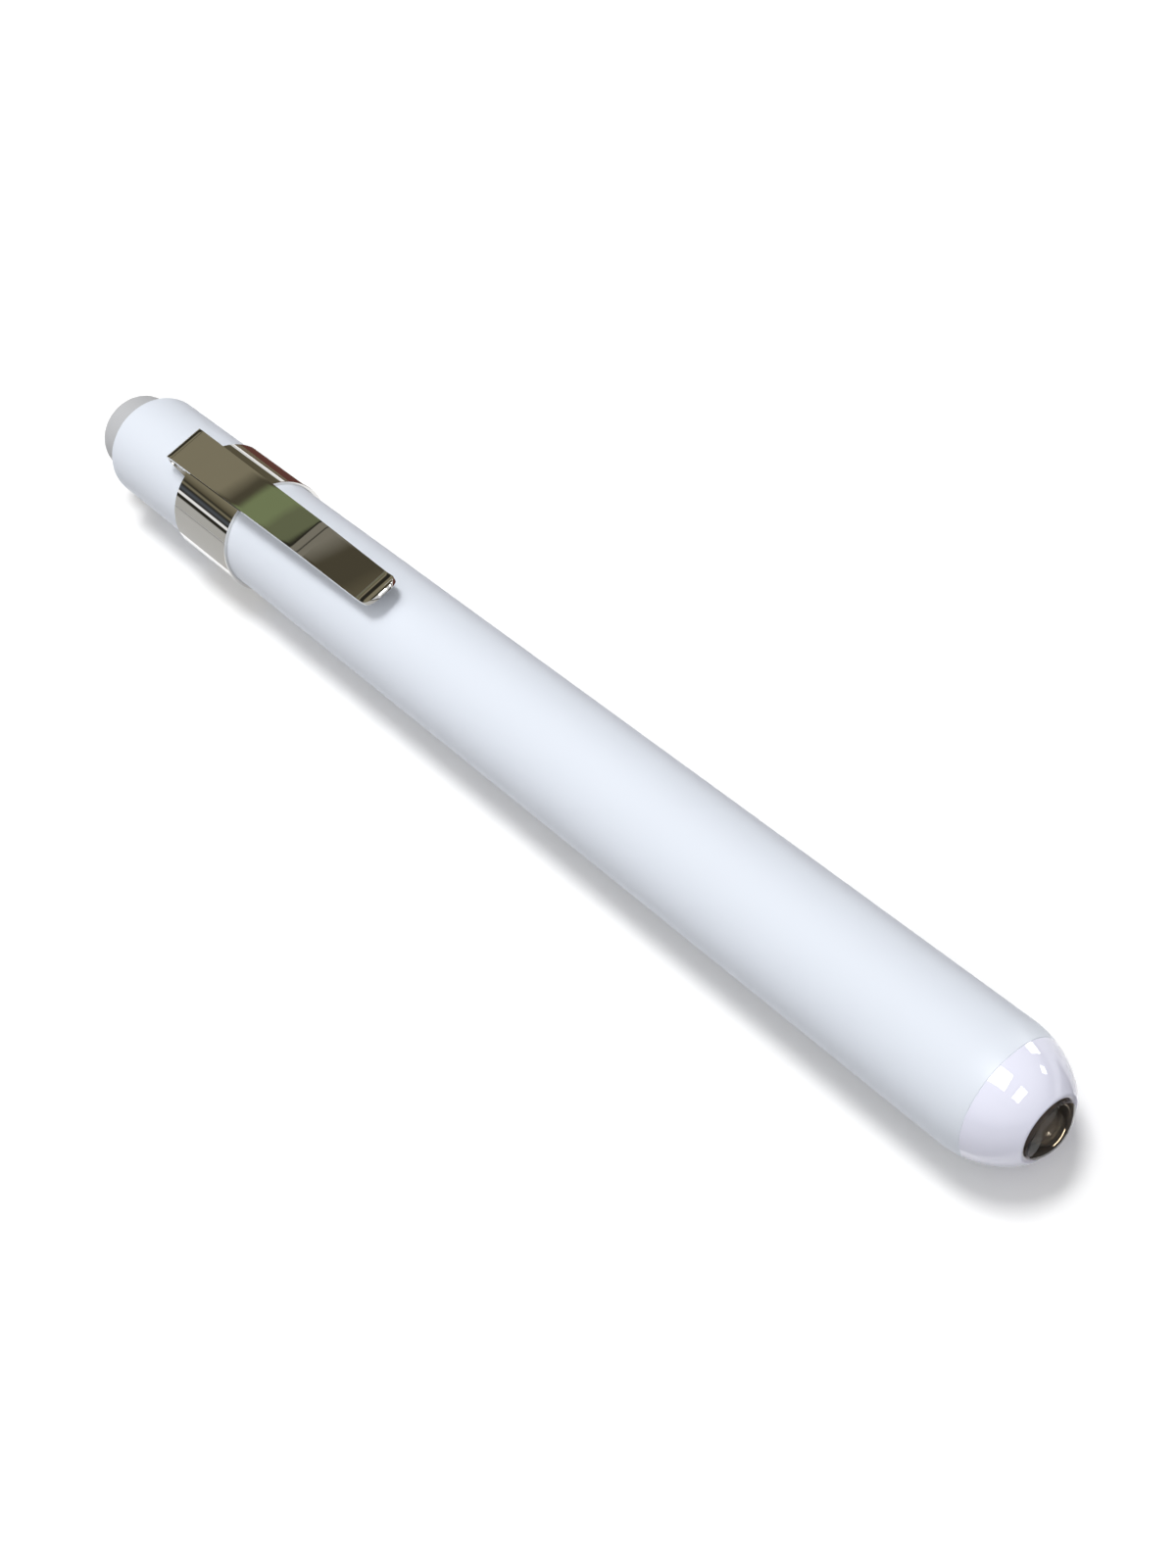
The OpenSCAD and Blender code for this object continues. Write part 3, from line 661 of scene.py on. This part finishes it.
class PENLIGHT_OT_clip(Operator):
    """Folds the chromed pocket clip from one strip"""

    bl_idname = "penlight.clip"
    bl_label = "Pocket clip"

    def execute(self, context):
        c = context.scene.penlight_clip
        radius = BARREL_R + c.band_fit + c.sheet / 2
        front, rear = TAIL + c.band_end, TAIL + c.band_start
        clear_selection()
        bpy.ops.mesh.primitive_circle_add(
            vertices=c.columns, radius=radius, location=(front, 0.0, AXIS_Z), rotation=(0.0, math.pi / 2, 0.0)
        )
        piece = bpy.context.object
        piece.name = piece.data.name = "clip_sheet"
        bpy.ops.object.transform_apply(location=True, rotation=True, scale=True)
        open_edit(piece)
        bpy.ops.mesh.select_all(action="SELECT")
        bpy.ops.mesh.extrude_region_move(TRANSFORM_OT_translate={"value": (rear - front, 0.0, 0.0)})

        # The split in the band's underside
        bottom = AXIS_Z - radius * 0.9
        under = radius * math.sin(math.pi / c.columns) * 1.1
        select_where(piece, lambda p: p.z < bottom and abs(p.y) < under * 0.5)
        bpy.ops.mesh.delete(type="VERT")
        gap = radius * math.sin(2 * math.pi / c.columns) * 1.1
        for side in (-1, 1):
            select_where(piece, lambda p: p.z < bottom and 0 < side * p.y < gap)
            mesh = bmesh.from_edit_mesh(piece.data)
            place = next(v.co.y for v in mesh.verts if v.select)
            bpy.ops.transform.translate(value=(0.0, side * c.band_split / 2 - place, 0.0))

        # The tongue leaves the band's rear edge over the blade's width and is flattened
        half = c.blade_width / 2
        level = AXIS_Z + radius
        select_where(piece, lambda p: p.x < rear + 1e-6 and p.z > AXIS_Z and abs(p.y) < half + 0.05 * MM)
        top = AXIS_Z + c.blade_height - c.sheet / 2
        hairpin = (top - c.crease_drop - level) / 2
        bend = CLIP_LOW.x + hairpin + c.sheet / 2
        step = (bend - rear) / 2
        bpy.ops.mesh.extrude_region_move(TRANSFORM_OT_translate={"value": (step, 0.0, 0.0)})
        bpy.ops.transform.resize(value=(1.0, 1.0, 0.5), center_override=(bend, 0.0, level))
        bpy.ops.mesh.extrude_region_move(TRANSFORM_OT_translate={"value": (step, 0.0, 0.0)})
        bpy.ops.transform.resize(value=(1.0, 1.0, 0.0), center_override=(bend, 0.0, level))

        # The rest of the strip, row by row: place along, height, half width
        mesh = bmesh.from_edit_mesh(piece.data)
        width = max(abs(v.co.y) for v in mesh.verts if v.select)
        rows = []
        for i in range(1, HAIRPIN_ROWS + 1):
            t = math.pi * i / HAIRPIN_ROWS
            rows.append((bend - hairpin * math.sin(t), level + hairpin * (1 - math.cos(t)), half))
        crease = CLIP_LOW.x + c.crease
        end = CLIP_HIGH.x
        lip = end - c.lip_bend * math.sin(c.lip_angle)
        falling = TAIL + c.level_end
        eased = c.fall * c.ease / 2 / (lip - falling - c.ease / 2)

        def half_width(x):
            share = (x - bend) / (end - c.tip_corner - bend)
            plain = half + (c.tip_width / 2 - half) * max(0.0, min(1.0, share))
            left = end - x
            if left >= c.tip_corner:
                return plain
            return plain - c.tip_corner + math.sqrt(max(0.0, c.tip_corner**2 - (c.tip_corner - left) ** 2))

        soft = c.crease_soft
        share = 2 * soft / (crease + soft - bend)
        for x, z in (
            (crease - soft, top - c.crease_drop * share / 2),
            (crease + soft, top),
            ((crease + falling) / 2, top),
            (falling, top),
            (falling + c.ease, top - eased),
            (lip, top - c.fall),
        ):
            rows.append((x, z, half_width(x)))
        bend_r = c.lip_bend + c.sheet / 2
        for i in range(1, LIP_ROWS + 1):
            t = c.lip_angle * math.sin(math.pi / 2 * i / LIP_ROWS)
            x = lip + c.lip_bend * math.sin(t)
            rows.append((x, top - c.fall + bend_r * (1 - math.cos(t)), half_width(x)))
        x, z = bend, level
        for to_x, to_z, to_half in rows:
            bpy.ops.mesh.extrude_region_move(TRANSFORM_OT_translate={"value": (to_x - x, 0.0, to_z - z)})
            bpy.ops.transform.resize(value=(1.0, to_half / width, 1.0), center_override=(to_x, 0.0, to_z))
            x, z, width = to_x, to_z, to_half
        bpy.ops.mesh.select_all(action="SELECT")
        bpy.ops.mesh.remove_doubles(threshold=WELD)
        bpy.ops.mesh.normals_make_consistent(inside=False)
        close_edit(piece)
        wall = piece.modifiers.new("sheet", "SOLIDIFY")
        wall.thickness = c.sheet
        wall.offset = 0.0
        wall.use_even_offset = True
        edge = piece.modifiers.new("edge", "BEVEL")
        edge.width = c.edge_round
        edge.segments = 2
        edge.limit_method = "ANGLE"
        edge.angle_limit = math.radians(50)
        apply_modifiers(piece)
        bpy.ops.object.shade_smooth_by_angle(angle=math.radians(35))
        even_normals(piece)
        chrome = drawn("chrome_sheet", c.metal, 0.0, 0.03, second=0.95, bump=0.004)
        dress(piece, "pocket_clip", "casing", chrome)
        return {"FINISHED"}


class PENLIGHT_OT_springs(Operator):
    """Winds the two springs that close up as the button goes in"""

    bl_idname = "penlight.springs"
    bl_label = "Springs"

    def execute(self, context):
        c = context.scene.penlight_springs
        wire = drawn("spring_wire", *STEEL_WIRE)
        ends = (c.return_radius, c.return_radius)
        self.wind("return_coil", "return_spring", c.return_wire, ends, c.return_turns, c.travel, wire)
        ends = (c.battery_small, c.battery_large)
        self.wind("battery_coil", "battery_spring", c.battery_wire, ends, c.battery_turns, c.travel, wire)
        return {"FINISHED"}

    def wind(self, name, node, wire, ends, turns, travel, material):
        """Winds a wire between the ends of a solid's box, from the rear radius to the front one."""
        rear, front = ends
        low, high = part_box(node)
        start, end = low.x + wire / 2, high.x - wire / 2
        steps = WIND_STEPS * turns
        axis = Vector((0.0, 0.0, AXIS_Z))
        clear_selection()
        bpy.ops.mesh.primitive_circle_add(
            vertices=WIRE_SIDES, radius=wire / 2, fill_type="NGON", location=(start, rear, AXIS_Z)
        )
        piece = bpy.context.object
        piece.name = piece.data.name = name
        bpy.ops.object.transform_apply(location=True, rotation=True, scale=True)
        open_edit(piece)
        bpy.ops.mesh.select_all(action="SELECT")
        onward = ((end - start) / steps, 0.0, 0.0)
        for _ in range(steps):
            bpy.ops.mesh.extrude_region_move(TRANSFORM_OT_translate={"value": onward})
            bpy.ops.transform.rotate(
                value=-2 * math.pi / WIND_STEPS, orient_axis="X", orient_type="GLOBAL", center_override=axis
            )
            mesh = bmesh.from_edit_mesh(piece.data)
            ring = [v.co for v in mesh.verts if v.select]
            out = sum(ring, Vector()) / len(ring) - axis
            out.x = 0.0
            bpy.ops.transform.translate(value=out.normalized() * (front - rear) / steps)
        bpy.ops.mesh.select_all(action="SELECT")
        bpy.ops.mesh.remove_doubles(threshold=WELD)
        bpy.ops.mesh.normals_make_consistent(inside=False)
        close_edit(piece, sharp_degrees=60)
        dress(piece, node, "casing", material)
        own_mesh(piece)


class PENLIGHT_OT_inside(Operator):
    """Gives the cells, the contacts and the bulb's inner pieces their finishes"""

    bl_idname = "penlight.inside"
    bl_label = "Inside pieces"

    def execute(self, context):
        brass = drawn("plain_brass", (0.78, 0.60, 0.28), 0.22, 0.36)
        wire = drawn("lead_wire", *STEEL_WIRE)
        nickel = drawn("nickel_steel", (0.66, 0.655, 0.64), 0.18, 0.3)
        solder = drawn("solder", (0.55, 0.56, 0.58), 0.3, 0.5, along=900.0, across=900.0)
        # Painted glow: the filament of the unlit bulb glows, so that a bright highlight shows through the
        # lens.
        tungsten = drawn(
            "tungsten", (0.85, 0.84, 0.80), 0.3, 0.45, along=6000.0, across=300.0,
            Emission_Color=(1.0, 0.93, 0.80, 1.0), Emission_Strength=4.0,
        )
        nylon = moulded("nylon", (0.83, 0.81, 0.74), 0.42, 0.55)
        jacket = moulded("cell_jacket", (0.10, 0.115, 0.15), 0.18, 0.28, second=0.85)
        seal = moulded("black_seal", (0.03, 0.03, 0.03), 0.5, 0.62)
        vitrite = moulded("black_glass", (0.015, 0.015, 0.017), 0.1, 0.2)
        bead = moulded("bead_glass", (0.10, 0.085, 0.07), 0.05, 0.12)
        for nodes, material in (
            (("plunger_pin", "contact_disc", "contact_strip", "contact_ring", "bulb_shell"), brass),
            (("bulb_leads",), wire),
            (("rear_cell_body", "rear_cell_plate", "front_cell_body", "front_cell_plate"), nickel),
            (("rear_cell_jacket", "front_cell_jacket"), jacket),
            (("rear_cell_seal", "front_cell_seal"), seal),
            (("switch_bush", "insulating_collar"), nylon),
            (("bulb_tip_contact",), solder),
            (("bulb_insulator",), vitrite),
            (("bulb_bead",), bead),
            (("bulb_filament",), tungsten),
        ):
            for node in nodes:
                finish_node(node, material)
        return {"FINISHED"}


class PENLIGHT_OT_stage(Operator):
    """Sets the floor, the light and the camera"""

    bl_idname = "penlight.stage"
    bl_label = "Stage"

    def execute(self, context):
        s = context.scene.penlight_stage
        scene = context.scene
        clear_selection()
        bpy.ops.mesh.primitive_plane_add(size=s.floor_size, location=(0.0, 0.0, 0.0))
        floor = bpy.context.object
        floor.name = "floor"
        floor.data.materials.append(self.floor_finish(s))
        # Painted reflections: cards that only gloss shows, the far one dark red-brown, the tail one olive.
        self.card("far_card", (-0.13, 0.06), (0.013, 0.12), s.card_colour)
        self.card("tail_card", (-0.70, -0.085), (-0.005, 0.09), s.tail_colour)
        # Painted shadow in the gloss of the lens.
        self.card("nose_shadow_card", (0.0726, 0.11), (-0.004, 0.035), s.nose_shadow_colour)
        # Painted shadow in the gloss of the band's near side.
        self.card("near_shadow_card", (-0.70, 0.30), (-0.50, -0.010), s.near_shadow_colour, height=0.0003)

        bpy.ops.object.camera_add(location=s.camera_place, rotation=s.camera_turn)
        camera = bpy.context.object
        camera.data.lens = s.camera_lens
        camera.data.sensor_width = 36.0
        camera.data.clip_start = 0.01
        scene.camera = camera
        scene.view_settings.view_transform = "Standard"
        scene.view_settings.look = "None"
        self.world(scene, s)

        # A soft key from above, then the bright panels that the gloss of the nose shows
        self.panel("key", Vector((-0.03, 0.11, 0.70)), (0.20, 0.20), s.key_power, gloss=False)
        self.panel("tail_fill", Vector((-0.14, 0.05, 0.32)), (0.12, 0.12), 0.14, gloss=False)
        self.panel("near_fill", Vector((-0.16, -0.22, 0.09)), (0.12, 0.12), 0.055, gloss=False)
        self.panel("ceiling_panel", NOSE + Vector((0.26, 0.05, 1.0)), (0.52, 0.42), 8.0)
        self.panel("far_panel", NOSE + Vector((0.684, 0.065, 0.726)), (0.41, 0.178), 2.7)
        self.panel("window", NOSE + Vector((0.02, 0.96, 0.24)), (0.27, 0.25), 2.5)
        self.panel("lamp", NOSE + Vector((0.42, 0.865, 0.26)), (0.13, 0.13), 0.63)
        return {"FINISHED"}

    def floor_finish(self, s):
        """A pale floor that looks whiter than what it sends back onto the pen."""
        values = {"Scale": 40.0, "Rough Low": 0.7, "Rough High": 0.8}
        values["Colour"] = (s.floor_white,) * 3
        values["Second Colour"] = (s.floor_white * 0.995,) * 3
        material = finish_material("pale_floor", grain_group(), values, 0.0, 0.0, Specular_IOR_Level=0.0)
        n, link = material.node_tree.nodes, material.node_tree.links.new
        surface = n["Principled BSDF"]
        pattern = surface.inputs["Base Color"].links[0].from_socket
        path = n.new("ShaderNodeLightPath")
        mix = n.new("ShaderNodeMix")
        mix.data_type = "RGBA"
        mix.inputs["B"].default_value = (*s.floor_bounce, 1.0)
        link(path.outputs["Is Diffuse Ray"], mix.inputs["Factor"])
        link(pattern, mix.inputs["A"])
        link(mix.outputs["Result"], surface.inputs["Base Color"])
        return material

    def card(self, name, along, across, tone, height=0.0005):
        """A card on the floor that only gloss and bright metal show: a painted reflection, hidden from the
        camera and casting no shadow.
        """
        clear_selection()
        middle = (sum(along) / 2, sum(across) / 2, height)
        bpy.ops.mesh.primitive_plane_add(size=1.0, location=middle)
        card = bpy.context.object
        card.name = name
        card.scale = (along[1] - along[0], across[1] - across[0], 1.0)
        bpy.ops.object.transform_apply(location=True, rotation=True, scale=True)
        paper = moulded(name, tone, 0.8, 0.9, scale=300.0, bump=0.0, Specular_IOR_Level=0.0)
        card.data.materials.append(paper)
        card.visible_camera = card.visible_diffuse = False
        card.visible_shadow = card.visible_transmission = False

    def panel(self, name, place, size, power, gloss=True):
        """A soft panel aimed at the nose, which either gloss shows or plain surfaces take light from."""
        light = bpy.data.lights.new(name, "AREA")
        light.shape = "RECTANGLE"
        light.size, light.size_y = size
        light.energy = power
        holder = bpy.data.objects.new(name, light)
        bpy.context.scene.collection.objects.link(holder)
        holder.location = place
        holder.rotation_euler = (NOSE - place).to_track_quat("-Z", "Y").to_euler()
        holder.visible_glossy = gloss
        holder.visible_diffuse = not gloss
        holder.visible_camera = False

    def world(self, scene, s):
        """Even light all round, with the darker room that bright metal shows toward the tail."""
        world = bpy.data.worlds.new("room")
        scene.world = world
        world.use_nodes = True
        n, link = world.node_tree.nodes, world.node_tree.links.new
        n.clear()
        out = n.new("ShaderNodeOutputWorld")
        even = n.new("ShaderNodeBackground")
        even.inputs["Strength"].default_value = s.ambient
        lean = n.new("ShaderNodeVectorMath")
        lean.operation = "DOT_PRODUCT"
        lean.inputs[1].default_value = EVEN_LEAN
        level = n.new("ShaderNodeMath")
        level.inputs[1].default_value = EVEN_BASE
        level.use_clamp = True
        room = n.new("ShaderNodeBackground")
        room.inputs["Strength"].default_value = 1.0
        path = n.new("ShaderNodeLightPath")
        mix = n.new("ShaderNodeMixShader")
        place = n.new("ShaderNodeTexCoord")
        split = n.new("ShaderNodeSeparateXYZ")
        link(place.outputs["Generated"], split.inputs["Vector"])
        link(place.outputs["Generated"], lean.inputs[0])
        link(lean.outputs["Value"], level.inputs[0])
        link(level.outputs["Value"], even.inputs["Color"])
        wave = n.new("ShaderNodeTexNoise")
        wave.inputs["Scale"].default_value = RIPPLE_SCALE
        height = n.new("ShaderNodeMath")
        height.operation = "MULTIPLY_ADD"
        height.inputs[1].default_value = RIPPLE_HEIGHT
        link(place.outputs["Generated"], wave.inputs["Vector"])
        link(wave.outputs["Fac"], height.inputs[0])
        link(split.outputs["Z"], height.inputs[2])

        def between(value, low, high):
            share = n.new("ShaderNodeMapRange")
            share.inputs["From Min"].default_value = low
            share.inputs["From Max"].default_value = high
            link(value, share.inputs["Value"])
            return share.outputs["Result"]

        def wall(stops):
            """Tones of one wall, spread over the heights that it names."""
            low, high = stops[0][0], stops[-1][0]
            node = n.new("ShaderNodeValToRGB")
            elements = node.color_ramp.elements
            for i, (at, tone) in enumerate(stops):
                place = (at - low) / (high - low)
                stop = elements[i] if i < 2 else elements.new(place)
                stop.position = place
                stop.color = (*ROOM[tone], 1.0)
            link(between(height.outputs["Value"], low, high), node.inputs["Fac"])
            return node.outputs["Color"]

        def over(base, stops, share):
            blend = n.new("ShaderNodeMix")
            blend.data_type = "RGBA"
            link(share, blend.inputs["Factor"])
            link(base, blend.inputs["A"])
            link(wall(stops), blend.inputs["B"])
            return blend.outputs["Result"]

        tone = over(wall(TAIL_WALL), BLADE_WALL, between(height.outputs["Value"], *BLADE_EDGE))
        tone = over(tone, NEAR_WALL, between(split.outputs["Y"], *NEAR_EDGE))
        tone = over(tone, FAR_WALL, between(split.outputs["Y"], *FAR_EDGE))
        tone = over(tone, PLAIN_WALL, between(split.outputs["X"], *PLAIN_EDGE))
        link(tone, room.inputs["Color"])
        link(path.outputs["Is Glossy Ray"], mix.inputs["Fac"])
        link(even.outputs["Background"], mix.inputs[1])
        link(room.outputs["Background"], mix.inputs[2])
        link(mix.outputs["Shader"], out.inputs["Surface"])


class PENLIGHT_PT_pieces(Panel):
    """Lists the penlight's pieces"""

    bl_label = "Penlight"
    bl_idname = "PENLIGHT_PT_pieces"
    bl_space_type = "VIEW_3D"
    bl_region_type = "UI"
    bl_category = "Penlight"

    def draw(self, context):
        for step in STEPS:
            self.layout.operator(step.bl_idname)
        for name in GROUPS:
            box = self.layout.box()
            settings = getattr(context.scene, name)
            for key in settings.bl_rna.properties.keys():
                if key not in {"rna_type", "name"}:
                    box.prop(settings, key)


STEPS = (
    PENLIGHT_OT_stage,
    PENLIGHT_OT_inside,
    PENLIGHT_OT_barrel,
    PENLIGHT_OT_nose,
    PENLIGHT_OT_bulb,
    PENLIGHT_OT_button,
    PENLIGHT_OT_clip,
    PENLIGHT_OT_springs,
)
GROUPS = {
    "penlight_casing": PenlightCasing,
    "penlight_clip": PenlightClip,
    "penlight_button": PenlightButton,
    "penlight_bulb": PenlightBulb,
    "penlight_springs": PenlightSprings,
    "penlight_stage": PenlightStage,
}


def register():
    for cls in (*GROUPS.values(), *STEPS, PENLIGHT_PT_pieces):
        bpy.utils.register_class(cls)
    for name, cls in GROUPS.items():
        setattr(bpy.types.Scene, name, PointerProperty(type=cls))


def unregister():
    for name in GROUPS:
        delattr(bpy.types.Scene, name)
    for cls in reversed((*GROUPS.values(), *STEPS, PENLIGHT_PT_pieces)):
        bpy.utils.unregister_class(cls)


def main():
    register()
    bpy.ops.penlight.stage()
    bpy.ops.penlight.inside()
    bpy.ops.penlight.barrel()
    bpy.ops.penlight.nose()
    bpy.ops.penlight.bulb()
    bpy.ops.penlight.button()
    bpy.ops.penlight.clip()
    bpy.ops.penlight.springs()
    clear_selection()


if __name__ == "__main__":
    main()
